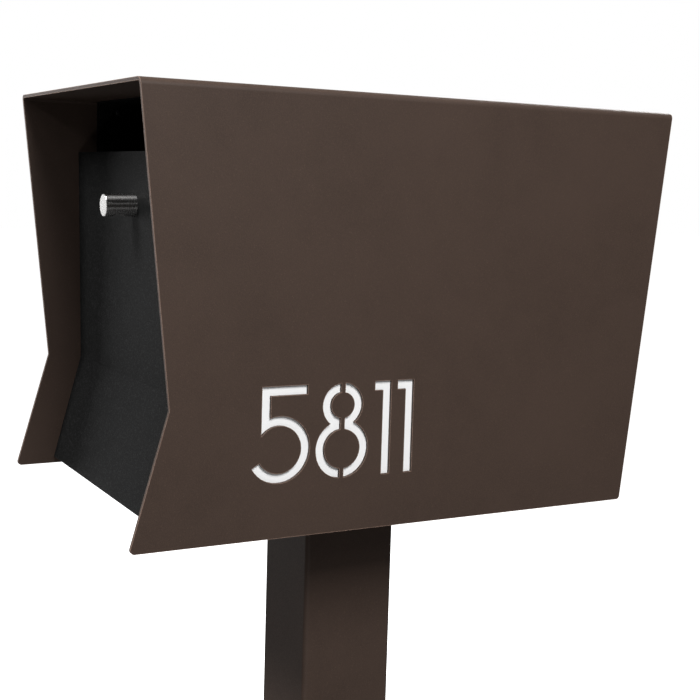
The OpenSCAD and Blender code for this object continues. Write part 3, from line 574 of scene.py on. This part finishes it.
class Shape:
    """Writes one Geometry Nodes tree that puts a shape on each point of a mesh, along its axis."""

    def __init__(self, name):
        self.tree = bpy.data.node_groups.new(name, "GeometryNodeTree")
        self.tree.is_modifier = True
        for way in ("INPUT", "OUTPUT"):
            self.tree.interface.new_socket("Geometry", in_out=way, socket_type="NodeSocketGeometry")
        self.start = self.tree.nodes.new("NodeGroupInput")

    def size(self, name, value):
        """A named length that the modifier can set."""
        socket = self.tree.interface.new_socket(name, in_out="INPUT", socket_type="NodeSocketFloat")
        socket.subtype = "DISTANCE"
        socket.default_value = value
        return self.start.outputs[name]

    def add(self, kind, wires=(), **settings):
        """A node with its settings and with a link or a value on each named socket."""
        node = self.tree.nodes.new(kind)
        for key, value in settings.items():
            setattr(node, key, value)
        for socket, value in wires:
            if isinstance(value, bpy.types.NodeSocket):
                self.tree.links.new(value, node.inputs[socket])
            else:
                node.inputs[socket].default_value = value
        return node

    def maths(self, operation, first, second=0.0):
        """One sum on two values."""
        return self.add("ShaderNodeMath", [(0, first), (1, second)], operation=operation).outputs[0]

    def vector(self, x=0.0, y=0.0, z=0.0):
        """Three values as one vector."""
        return self.add("ShaderNodeCombineXYZ", [("X", x), ("Y", y), ("Z", z)]).outputs[0]

    def lifted(self, mesh, z, scale=(1, 1, 1)):
        """A mesh scaled and then moved along its axis."""
        return self.add("GeometryNodeTransform", [
            ("Geometry", mesh), ("Scale", scale), ("Translation", self.vector(z=z))]).outputs[0]

    def ball(self, segments, rings):
        """A ball one metre in radius, to be scaled."""
        return self.add("GeometryNodeMeshUVSphere", [
            ("Segments", segments), ("Rings", rings), ("Radius", 1.0)]).outputs["Mesh"]

    def place(self):
        """The X, Y and Z of each point of a mesh."""
        here = self.add("GeometryNodeInputPosition").outputs[0]
        return self.add("ShaderNodeSeparateXYZ", [("Vector", here)]).outputs

    def moved(self, mesh, target):
        """A mesh with each point carried to its target."""
        return self.add("GeometryNodeSetPosition", [("Geometry", mesh), ("Position", target)]).outputs[0]

    def drum(self, sides, radius, length, top, rings=1):
        """A prism of that many sides whose upper end is at top."""
        rod = self.add("GeometryNodeMeshCylinder", [
            ("Vertices", sides), ("Side Segments", rings), ("Radius", radius), ("Depth", length)])
        middle = self.maths("SUBTRACT", top, self.maths("DIVIDE", length, 2.0))
        return self.lifted(rod.outputs["Mesh"], middle)

    def dome(self, radius, height):
        """A flattened dome that stands on its flat disc."""
        place = self.place()
        target = self.vector(
            self.maths("MULTIPLY", place["X"], radius), self.maths("MULTIPLY", place["Y"], radius),
            self.maths("MULTIPLY", self.maths("MAXIMUM", place["Z"], 0.0), height))
        return self.moved(self.ball(32, 16), target)

    def thread(self, radius, length, top, pitch, depth, turns):
        """A rod with a helical thread down it."""
        rod = self.drum(24, radius, length, top, turns * 6)
        place = self.place()
        angle = self.maths("ARCTAN2", place["Y"], place["X"])
        climb = self.maths("MULTIPLY", self.maths("DIVIDE", place["Z"], pitch), 2 * math.pi)
        wave = self.maths("SUBTRACT", self.maths("SINE", self.maths("SUBTRACT", climb, angle)), 1.0)
        swing = self.maths("DIVIDE", self.maths("MULTIPLY", depth, 0.5), radius)
        shrink = self.maths("ADD", 1.0, self.maths("MULTIPLY", wave, swing))
        target = self.vector(
            self.maths("MULTIPLY", place["X"], shrink), self.maths("MULTIPLY", place["Y"], shrink),
            place["Z"])
        return self.moved(rod, target)

    def cut(self, mesh, *tools):
        """A mesh with the tools taken out of it."""
        node = self.add("GeometryNodeMeshBoolean", [("Mesh 1", mesh)], operation="DIFFERENCE", solver="EXACT")
        for tool in tools:
            self.tree.links.new(tool, node.inputs["Mesh 2"])
        return node.outputs["Mesh"]

    def common(self, *meshes):
        """What all the meshes have in common."""
        node = self.add("GeometryNodeMeshBoolean", operation="INTERSECT", solver="EXACT")
        for mesh in meshes:
            self.tree.links.new(mesh, node.inputs["Mesh 2"])
        return node.outputs["Mesh"]

    def nut_blank(self, flats, height, bottom):
        """A hexagonal block with the chamfered corners of a turned nut."""
        radius = self.maths("DIVIDE", flats, 2 * math.cos(math.pi / 6))
        block = self.drum(6, radius, height, self.maths("ADD", bottom, height))
        wide = self.maths("MULTIPLY", flats, 0.72)
        scale = self.vector(wide, wide, self.maths("MULTIPLY", height, 0.78))
        middle = self.maths("ADD", bottom, self.maths("MULTIPLY", height, 0.5))
        return self.common(block, self.lifted(self.ball(48, 24), middle, scale))

    def joined(self, *meshes):
        """Several meshes as one."""
        node = self.add("GeometryNodeJoinGeometry")
        for mesh in meshes:
            self.tree.links.new(mesh, node.inputs[0])
        return node.outputs[0]

    def close(self, mesh, material, crease=CREASE):
        """Ends the tree: the shape on every point, smooth but for its creases, in its material."""
        axis = self.add("GeometryNodeInputNamedAttribute", [("Name", "axis")], data_type="FLOAT_VECTOR")
        turn = self.add("FunctionNodeAlignRotationToVector", [("Vector", axis.outputs[0])], axis="Z")
        placed = self.add("GeometryNodeInstanceOnPoints", [
            ("Points", self.start.outputs["Geometry"]), ("Instance", mesh), ("Rotation", turn.outputs[0])])
        real = self.add("GeometryNodeRealizeInstances", [("Geometry", placed.outputs[0])])
        smooth = self.add("GeometryNodeSetShadeSmooth", [
            ("Geometry", real.outputs[0]), ("Shade Smooth", True)], domain="FACE")
        angle = self.add("GeometryNodeInputMeshEdgeAngle").outputs["Unsigned Angle"]
        sharp = self.maths("GREATER_THAN", angle, math.radians(crease))
        creased = self.add("GeometryNodeSetShadeSmooth", [
            ("Geometry", smooth.outputs[0]), ("Selection", sharp), ("Shade Smooth", False)], domain="EDGE")
        dressed = self.add("GeometryNodeSetMaterial", [
            ("Geometry", creased.outputs[0]), ("Material", material)])
        out = self.tree.nodes.new("NodeGroupOutput")
        self.tree.links.new(dressed.outputs[0], out.inputs[0])
        return self.tree


def identifier(tree, name):
    """The identifier of a tree's named input."""
    for item in tree.interface.items_tree:
        if item.name == name and item.in_out == "INPUT":
            return item.identifier
    raise RuntimeError(f"the tree {tree.name} has no input named {name}")


def grown(tree, spots, sizes):
    """Runs a tree on a set of spots and returns the plain mesh that it makes."""
    mesh = bpy.data.meshes.new(tree.name)
    mesh.from_pydata([spot["at"] for spot in spots], [], [])
    mesh.attributes.new("axis", "FLOAT_VECTOR", "POINT").data.foreach_set(
        "vector", [c for spot in spots for c in spot["axis"]])
    piece = add_object(tree.name, mesh)
    modifier = piece.modifiers.new("shape", "NODES")
    modifier.node_group = tree
    for name, value in sizes.items():
        modifier[identifier(tree, name)] = value
    plain_mesh(piece, tree.name)
    made = piece.data
    bpy.data.objects.remove(piece)
    if not made.polygons:
        raise RuntimeError(f"the tree {tree.name} made nothing")
    return made


def gathered(node, meshes):
    """One piece from several plain meshes, standing for a node."""
    name = f"{node}_finished"
    work = bmesh.new()
    for mesh in meshes:
        work.from_mesh(mesh)
    whole = bpy.data.meshes.new(name)
    work.to_mesh(whole)
    work.free()
    settle(add_object(name, whole), node)


# ---------------------------------------------------------------- fasteners

def rivet_tree(material):
    """A blind rivet: domed head, pulled mandrel, shank and spread tail."""
    shape = Shape("blind_rivet")
    head_r = shape.size("Head Radius", 3.2 * MM)
    head_h = shape.size("Head Height", RIVET_HEAD)
    shank_r = shape.size("Shank Radius", 1.6 * MM)
    tail_r = shape.size("Tail Radius", 2.4 * MM)
    grip = shape.size("Grip", 3 * MM)
    pin_r = shape.size("Mandrel Radius", 0.85 * MM)
    dome = shape.dome(head_r, head_h)
    deep = shape.maths("MULTIPLY", head_h, 2.0)
    hole = shape.drum(16, pin_r, deep, shape.maths("MULTIPLY", head_h, 2.4))
    pin = shape.drum(16, shape.maths("MULTIPLY", pin_r, 0.86), shape.maths("MULTIPLY", head_h, 0.5),
                     shape.maths("MULTIPLY", head_h, 0.62))
    shank = shape.drum(16, shank_r, shape.maths("ADD", grip, 0.2 * MM), 0.0)
    tail_h = 0.6 * MM
    tail = shape.lifted(
        shape.ball(16, 10), shape.maths("SUBTRACT", -tail_h, grip), shape.vector(tail_r, tail_r, tail_h))
    return shape.close(shape.joined(shape.cut(dome, hole), pin, shank, tail), material)


def screw_tree(material):
    """A button-head screw with a cross recess and a threaded shank."""
    shape = Shape("button_screw")
    head_r = shape.size("Head Radius", 4 * MM)
    head_h = shape.size("Head Height", 2.6 * MM)
    shank_r = shape.size("Shank Radius", 2 * MM)
    length = shape.size("Shank Length", 8 * MM)
    pitch = shape.size("Thread Pitch", 0.7 * MM)
    slot_w = shape.maths("MULTIPLY", head_r, 0.22)
    slot_l = shape.maths("MULTIPLY", head_r, 1.05)
    deep = shape.maths("MULTIPLY", head_h, 1.1)
    bars = []
    for x, y in ((slot_w, slot_l), (slot_l, slot_w)):
        bar = shape.add("GeometryNodeMeshCube", [("Size", shape.vector(x, y, deep))])
        bars.append(shape.lifted(bar.outputs["Mesh"], head_h))
    head = shape.cut(shape.dome(head_r, head_h), *bars)
    rod = shape.thread(shank_r, length, 0.0, pitch, shape.maths("MULTIPLY", pitch, 0.5), 10)
    return shape.close(shape.joined(head, rod), material)


def bolt_tree(material):
    """A hexagon bolt: chamfered head, washer face and threaded shank."""
    shape = Shape("hexagon_bolt")
    flats = shape.size("Across Flats", 13 * MM)
    head_h = shape.size("Head Height", BOLT_HEAD)
    shank_r = shape.size("Shank Radius", 4 * MM)
    length = shape.size("Shank Length", 20 * MM)
    pitch = shape.size("Thread Pitch", 1.25 * MM)
    head = shape.nut_blank(flats, head_h, 0.0)
    rod = shape.thread(shank_r, length, 0.0, pitch, shape.maths("MULTIPLY", pitch, 0.55), 16)
    return shape.close(shape.joined(head, rod), material)


def nut_tree(material):
    """A hexagon nut with a plain bore."""
    shape = Shape("hexagon_nut")
    flats = shape.size("Across Flats", 13 * MM)
    height = shape.size("Height", 6.5 * MM)
    bore = shape.size("Bore Radius", 4.1 * MM)
    blank = shape.nut_blank(flats, height, 0.0)
    deep = shape.maths("MULTIPLY", height, 2.0)
    hole = shape.drum(32, bore, deep, shape.maths("MULTIPLY", height, 1.5))
    return shape.close(shape.cut(blank, hole), material)


def by_length(spots):
    """The spots in groups of one length, shortest first."""
    groups = {}
    for spot in spots:
        groups.setdefault(round(spot["length"] / (0.1 * MM)), []).append(spot)
    return [groups[key] for key in sorted(groups)]


def under_heads(spots, head_h):
    """The same spots, each moved down to the face that its head sits on."""
    return [{"at": s["top"] - s["axis"] * head_h, "axis": s["axis"]} for s in spots]


def dress_rivets(node, head_radius):
    """A node's rivets, each drawn up to the grip that its own solid has."""
    tree = rivet_tree(finish_of(node))
    meshes = []
    for group in by_length(round_spots(node)):
        meshes.append(grown(tree, under_heads(group, RIVET_HEAD), {
            "Grip": group[0]["length"] - RIVET_ENDS, "Head Radius": head_radius}))
    gathered(node, meshes)


def dress_screws(node, head_h, shank_r, pitch):
    """A node's button-head screws, each as long as its own solid."""
    tree = screw_tree(finish_of(node))
    meshes = []
    for group in by_length(round_spots(node)):
        meshes.append(grown(tree, under_heads(group, head_h), {
            "Head Radius": group[0]["radius"], "Head Height": head_h, "Shank Radius": shank_r,
            "Shank Length": group[0]["length"] - head_h, "Thread Pitch": pitch}))
    gathered(node, meshes)


def dress_bolts(node, pitch):
    """A node's hexagon bolts, which are all of one length."""
    spots = round_spots(node)
    bolts = grown(bolt_tree(finish_of(node)), under_heads(spots, BOLT_HEAD), {
        "Shank Length": spots[0]["length"] - BOLT_HEAD, "Thread Pitch": pitch})
    gathered(node, [bolts])


def dress_nuts(node, flats, height, bore):
    """A node's hexagon nuts."""
    spots = [{"at": s["top"] - s["axis"] * s["length"], "axis": s["axis"]} for s in round_spots(node)]
    nuts = grown(nut_tree(finish_of(node)), spots, {
        "Across Flats": flats, "Height": height, "Bore Radius": bore})
    gathered(node, [nuts])


# ---------------------------------------------------------------- welds

def weld_tree(material):
    """A rippled weld bead round a square tube."""
    shape = Shape("weld_bead")
    side = shape.size("Side", 101.6 * MM)
    corner = shape.size("Corner Radius", 5.2 * MM)
    bead = shape.size("Bead Radius", 3 * MM)
    ripple = shape.size("Ripple", 0.3 * MM)
    spacing = shape.size("Ripple Spacing", 2.2 * MM)
    square = shape.add("GeometryNodeCurvePrimitiveQuadrilateral", [
        ("Width", side), ("Height", side)]).outputs[0]
    path = shape.add("GeometryNodeFilletCurve", [
        ("Curve", square), ("Radius", corner), ("Count", 6)], mode="POLY").outputs[0]
    fine = shape.add("GeometryNodeResampleCurve", [
        ("Curve", path), ("Length", 0.55 * MM)], mode="LENGTH").outputs[0]
    ring = shape.add("GeometryNodeCurvePrimitiveCircle", [
        ("Resolution", 10), ("Radius", bead)]).outputs["Curve"]
    along = shape.add("GeometryNodeSplineParameter").outputs["Length"]
    turns = shape.maths("DIVIDE", along, spacing)
    wave = shape.maths("SINE", shape.maths("MULTIPLY", turns, 2 * math.pi))
    grit = shape.add("ShaderNodeTexNoise", [
        ("Scale", 260.0), ("Detail", 2.0)], noise_dimensions="3D").outputs[0]
    swing = shape.maths("ADD", shape.maths("MULTIPLY", wave, 0.6), shape.maths("SUBTRACT", grit, 0.5))
    radius = shape.maths("ADD", 1.0, shape.maths("DIVIDE", shape.maths("MULTIPLY", swing, ripple), bead))
    shaped = shape.add("GeometryNodeSetCurveRadius", [("Curve", fine), ("Radius", radius)]).outputs[0]
    tube = shape.add("GeometryNodeCurveToMesh", [("Curve", shaped), ("Profile Curve", ring)])
    if "Scale" in tube.inputs:
        shape.tree.links.new(shape.add("GeometryNodeInputRadius").outputs[0], tube.inputs["Scale"])
    return shape.close(tube.outputs["Mesh"], material, 80)


# ---------------------------------------------------------------- operators

class FinishStep:
    """What every step shares: it builds into the open scene."""

    bl_options = {"REGISTER"}

    def execute(self, context):
        self.build(context.scene)
        return {"FINISHED"}


class DROPBOX_OT_finishes(FinishStep, bpy.types.Operator):
    """Makes the coats, metals and plastics"""

    bl_idname = "dropbox.finishes"
    bl_label = "Finishes"

    def build(self, scene):
        FINISHES.update(make_finishes(scene.dropbox_finish))


class DROPBOX_OT_cover(FinishStep, bpy.types.Operator):
    """Rounds the coated cover sheet and fits the white number panel"""

    bl_idname = "dropbox.cover"
    bl_label = "Cover and number"

    def build(self, scene):
        softened("cover_shell", scene.dropbox_sizes.sheet_edge)
        softened("number_backer", 0.3 * MM)


class DROPBOX_OT_inner_box(FinishStep, bpy.types.Operator):
    """Finishes the inner box: floor, walls, roof, frames and letter chute"""

    bl_idname = "dropbox.inner_box"
    bl_label = "Inner box"

    def build(self, scene):
        edge = scene.dropbox_sizes.thin_edge
        for node in ("floor_pan", "left_liner", "right_liner", "roof_liner", "rear_frame",
                     "letter_chute", "front_frame"):
            softened(node, edge)


class DROPBOX_OT_doors(FinishStep, bpy.types.Operator):
    """Gives the two doors their bent edges"""

    bl_idname = "dropbox.doors"
    bl_label = "Doors"

    def build(self, scene):
        fold = scene.dropbox_sizes.door_edge
        softened("front_door", fold)
        softened("rear_door", fold)


class DROPBOX_OT_knob(FinishStep, bpy.types.Operator):
    """Polishes the pull knob and its washer and set screw"""

    bl_idname = "dropbox.knob"
    bl_label = "Pull knob"

    def build(self, scene):
        softened("pull_knob", 0.25 * MM, segments=2)
        softened("knob_washer", 0.2 * MM, segments=2)
        softened("knob_set_screw", 0.15 * MM, segments=2)
        dress_screws("knob_screw", *KNOB_SCREW)


class DROPBOX_OT_hinges(FinishStep, bpy.types.Operator):
    """Finishes the hinge leaves and pins of both doors"""

    bl_idname = "dropbox.hinges"
    bl_label = "Hinges"

    def build(self, scene):
        for node in ("door_leaf", "sill_leaf", "rear_door_leaf", "rear_frame_leaf"):
            softened(node, 0.25 * MM, segments=2)
        for node in ("door_hinge_pin", "rear_hinge_pin"):
            softened(node, 0.4 * MM)


class DROPBOX_OT_flap(FinishStep, bpy.types.Operator):
    """Finishes the security flap and what it swings on"""

    bl_idname = "dropbox.flap"
    bl_label = "Security flap"

    def build(self, scene):
        softened("security_flap", scene.dropbox_sizes.thin_edge)
        softened("flap_rod", 0.3 * MM)
        softened("flap_bushings", 0.3 * MM)
        softened("rod_clips", 0.15 * MM, segments=2)


class DROPBOX_OT_lock(FinishStep, bpy.types.Operator):
    """Finishes the cam lock and its key"""

    bl_idname = "dropbox.lock"
    bl_label = "Cam lock"

    def build(self, scene):
        softened("lock_body", 0.4 * MM)
        softened("lock_plug", 0.15 * MM, segments=2)
        softened("lock_cam", 0.3 * MM)
        softened("key", 0.25 * MM)
        dress_screws("cam_screw", *CAM_SCREW)
        dress_nuts("lock_nut", *LOCK_NUT)


class DROPBOX_OT_rivets(FinishStep, bpy.types.Operator):
    """Sets the blind rivets of the box and hinges"""

    bl_idname = "dropbox.rivets"
    bl_label = "Rivets"

    def build(self, scene):
        for node in ("box_rivets", "sill_rivets", "rear_door_rivets", "rear_frame_rivets"):
            dress_rivets(node, scene.dropbox_sizes.rivet_head)


class DROPBOX_OT_screws(FinishStep, bpy.types.Operator):
    """Sets the cover's and the chute's screws, and the nuts of the number panel and the door"""

    bl_idname = "dropbox.screws"
    bl_label = "Screws and small nuts"

    def build(self, scene):
        dress_screws("cover_screws", *COVER_SCREW)
        for node in ("backer_nuts", "door_nuts"):
            dress_nuts(node, *SMALL_NUT)
        softened("chute_screws", 0.2 * MM, segments=2)


class DROPBOX_OT_post_bolts(FinishStep, bpy.types.Operator):
    """Sets the bolts, washers and nuts that hold the box on the post"""

    bl_idname = "dropbox.post_bolts"
    bl_label = "Post bolts"

    def build(self, scene):
        dress_bolts("head_bolts", scene.dropbox_sizes.thread_pitch)
        dress_nuts("head_nuts", *POST_NUT)
        softened("head_washers", 0.25 * MM, segments=2)


class DROPBOX_OT_rubber(FinishStep, bpy.types.Operator):
    """Finishes the rubber stops and the magnetic strips"""

    bl_idname = "dropbox.rubber"
    bl_label = "Stops and magnets"

    def build(self, scene):
        for node in ("flap_bumpers", "door_bumpers", "rear_bumpers"):
            softened(node, 0.6 * MM, segments=4)
        softened("door_magnets", 0.3 * MM, segments=2)


class DROPBOX_OT_post(FinishStep, bpy.types.Operator):
    """Finishes the post and its plates, and lays the weld beads"""

    bl_idname = "dropbox.post"
    bl_label = "Post"

    def build(self, scene):
        softened("post_tube", 0.4 * MM)
        softened("post_head_plate", 0.8 * MM)
        softened("base_plate", 1.2 * MM)
        bead = scene.dropbox_sizes.weld
        low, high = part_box("post_tube")
        spots = [{"at": Vector((0, 0, z)), "axis": Vector((0, 0, 1))}
                 for z in (low.z + 0.3 * bead, high.z - 0.3 * bead)]
        mesh = grown(weld_tree(finish_of("post_tube")), spots, {
            "Side": high.x - low.x, "Bead Radius": bead})
        piece = add_object("post_weld_beads", mesh)
        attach(piece, "box")


class DROPBOX_OT_stage(FinishStep, bpy.types.Operator):
    """Lays the floor and sets the lights and the camera"""

    bl_idname = "dropbox.stage"
    bl_label = "Stage"

    def build(self, scene):
        stage = scene.dropbox_stage
        self.floor()
        self.sky(scene, stage.ambient)
        for name, place, size, power in SOFTBOXES:
            self.softbox(name, Vector(place), size, getattr(stage, power))
        self.camera(scene, stage)
        scene.view_settings.view_transform = "Standard"
        scene.view_settings.look = "None"

    def floor(self):
        """A pale floor, white when seen, that throws little light upwards and is clear from below."""
        mesh = bpy.data.meshes.new("floor")
        corners = [(x * FLOOR_REACH, y * FLOOR_REACH, 0) for x, y in ((-1, -1), (1, -1), (1, 1), (-1, 1))]
        mesh.from_pydata(corners, [], [(0, 1, 2, 3)])
        floor = add_object("floor", mesh)
        mat, tree, bsdf, place = new_material("floor_paint")
        cloud = remap(tree, noise(tree, place, 3, 3), 0.3, 0.7, 0, 1)
        tone = blended(tree, cloud, (0.86, 0.86, 0.86), (0.9, 0.9, 0.9))
        tree.links.new(tone, bsdf.inputs["Base Color"])
        bsdf.inputs["Roughness"].default_value = 0.9
        bsdf.inputs["Specular IOR Level"].default_value = 0.1
        glow = tree.nodes.new("ShaderNodeEmission")
        glow.inputs["Strength"].default_value = FLOOR_GLOW
        seen = tree.nodes.new("ShaderNodeAddShader")
        tree.links.new(bsdf.outputs[0], seen.inputs[0])
        tree.links.new(glow.outputs[0], seen.inputs[1])
        dim = tree.nodes.new("ShaderNodeBsdfDiffuse")
        dim.inputs["Color"].default_value = FLOOR_BOUNCE
        above = seen_or_lit(tree, seen.outputs[0], dim.outputs[0])
        side = tree.nodes.new("ShaderNodeNewGeometry")
        clear = tree.nodes.new("ShaderNodeBsdfTransparent")
        surface = picked(tree, side.outputs["Backfacing"], above, clear.outputs[0])
        out = next(n for n in tree.nodes if n.bl_idname == "ShaderNodeOutputMaterial")
        tree.links.new(surface, out.inputs["Surface"])
        mesh.materials.append(mat)

    def sky(self, scene, ambient):
        """Dim even light from all round, with white behind the box."""
        world = bpy.data.worlds.new("studio")
        world.use_nodes = True
        tree = world.node_tree
        tree.nodes.clear()
        out = tree.nodes.new("ShaderNodeOutputWorld")
        glow = tree.nodes.new("ShaderNodeBackground")
        seen = tree.nodes.new("ShaderNodeBackground")
        glow.inputs["Strength"].default_value = ambient
        seen.inputs["Strength"].default_value = 1.0
        for node in (glow, seen):
            node.inputs["Color"].default_value = (1, 1, 1, 1)
        tree.links.new(seen_or_lit(tree, seen.outputs[0], glow.outputs[0]), out.inputs["Surface"])
        scene.world = world

    def softbox(self, name, place, size, power):
        """A soft light turned towards the middle of the box."""
        light = bpy.data.lights.new(name, "AREA")
        light.shape = "RECTANGLE"
        light.size, light.size_y = size
        light.energy = power
        lamp = bpy.data.objects.new(name, light)
        bpy.context.scene.collection.objects.link(lamp)
        lamp.location = place
        lamp.rotation_euler = (AIM - place).to_track_quat("-Z", "Y").to_euler()

    def camera(self, scene, stage):
        """A camera from its place, heading, pitch and roll."""
        data = bpy.data.cameras.new("camera")
        data.sensor_width = 36
        data.lens = stage.lens
        data.shift_x = stage.shift_x
        data.shift_y = stage.shift_y
        data.clip_start = 0.05
        data.clip_end = 100
        camera = bpy.data.objects.new("camera", data)
        scene.collection.objects.link(camera)
        cos_h, sin_h = math.cos(stage.heading), math.sin(stage.heading)
        cos_p, sin_p = math.cos(stage.pitch), math.sin(stage.pitch)
        ahead = Vector((-sin_h * cos_p, cos_h * cos_p, -sin_p))
        right = Vector((cos_h, sin_h, 0))
        up = right.cross(ahead)
        cos_r, sin_r = math.cos(stage.roll), math.sin(stage.roll)
        turned_right = right * cos_r + up * sin_r
        turned_up = up * cos_r - right * sin_r
        turn = Matrix((turned_right, turned_up, -ahead)).transposed()
        camera.matrix_world = Matrix.Translation(stage.camera_at) @ turn.to_4x4()
        scene.camera = camera


class DROPBOX_PT_panel(bpy.types.Panel):
    """Lists the drop box's pieces and settings"""

    bl_label = "Parcel Drop Box"
    bl_idname = "DROPBOX_PT_panel"
    bl_space_type = "VIEW_3D"
    bl_region_type = "UI"
    bl_category = "Drop Box"

    def draw(self, context):
        for settings in ("dropbox_finish", "dropbox_sizes", "dropbox_stage"):
            box = self.layout.box()
            group = getattr(context.scene, settings)
            for name in group.__annotations__:
                box.prop(group, name)
        for step in STEPS:
            self.layout.operator(step.bl_idname)


STEPS = (
    DROPBOX_OT_finishes, DROPBOX_OT_cover, DROPBOX_OT_inner_box, DROPBOX_OT_doors, DROPBOX_OT_knob,
    DROPBOX_OT_hinges, DROPBOX_OT_flap, DROPBOX_OT_lock, DROPBOX_OT_rivets, DROPBOX_OT_screws,
    DROPBOX_OT_post_bolts, DROPBOX_OT_rubber, DROPBOX_OT_post, DROPBOX_OT_stage,
)
GROUPS = {
    "dropbox_finish": DropBoxFinish,
    "dropbox_sizes": DropBoxSizes,
    "dropbox_stage": DropBoxStage,
}


def register():
    """Adds the settings, the steps and the panel."""
    for group in GROUPS.values():
        bpy.utils.register_class(group)
    for step in STEPS:
        bpy.utils.register_class(step)
    bpy.utils.register_class(DROPBOX_PT_panel)
    for name, group in GROUPS.items():
        setattr(bpy.types.Scene, name, PointerProperty(type=group))


def unregister():
    """Takes out what register added."""
    for name in GROUPS:
        delattr(bpy.types.Scene, name)
    bpy.utils.unregister_class(DROPBOX_PT_panel)
    for step in reversed(STEPS):
        bpy.utils.unregister_class(step)
    for group in reversed(list(GROUPS.values())):
        bpy.utils.unregister_class(group)


def main():
    """Runs every step."""
    register()
    for step in STEPS:
        group, name = step.bl_idname.split(".")
        getattr(getattr(bpy.ops, group), name)()
    missing = sorted(n for n, o in NODES.items() if not o.hide_render and not o.data.materials)
    if missing:
        raise RuntimeError(f"these nodes have no finish: {missing}")


if __name__ == "__main__":
    main()
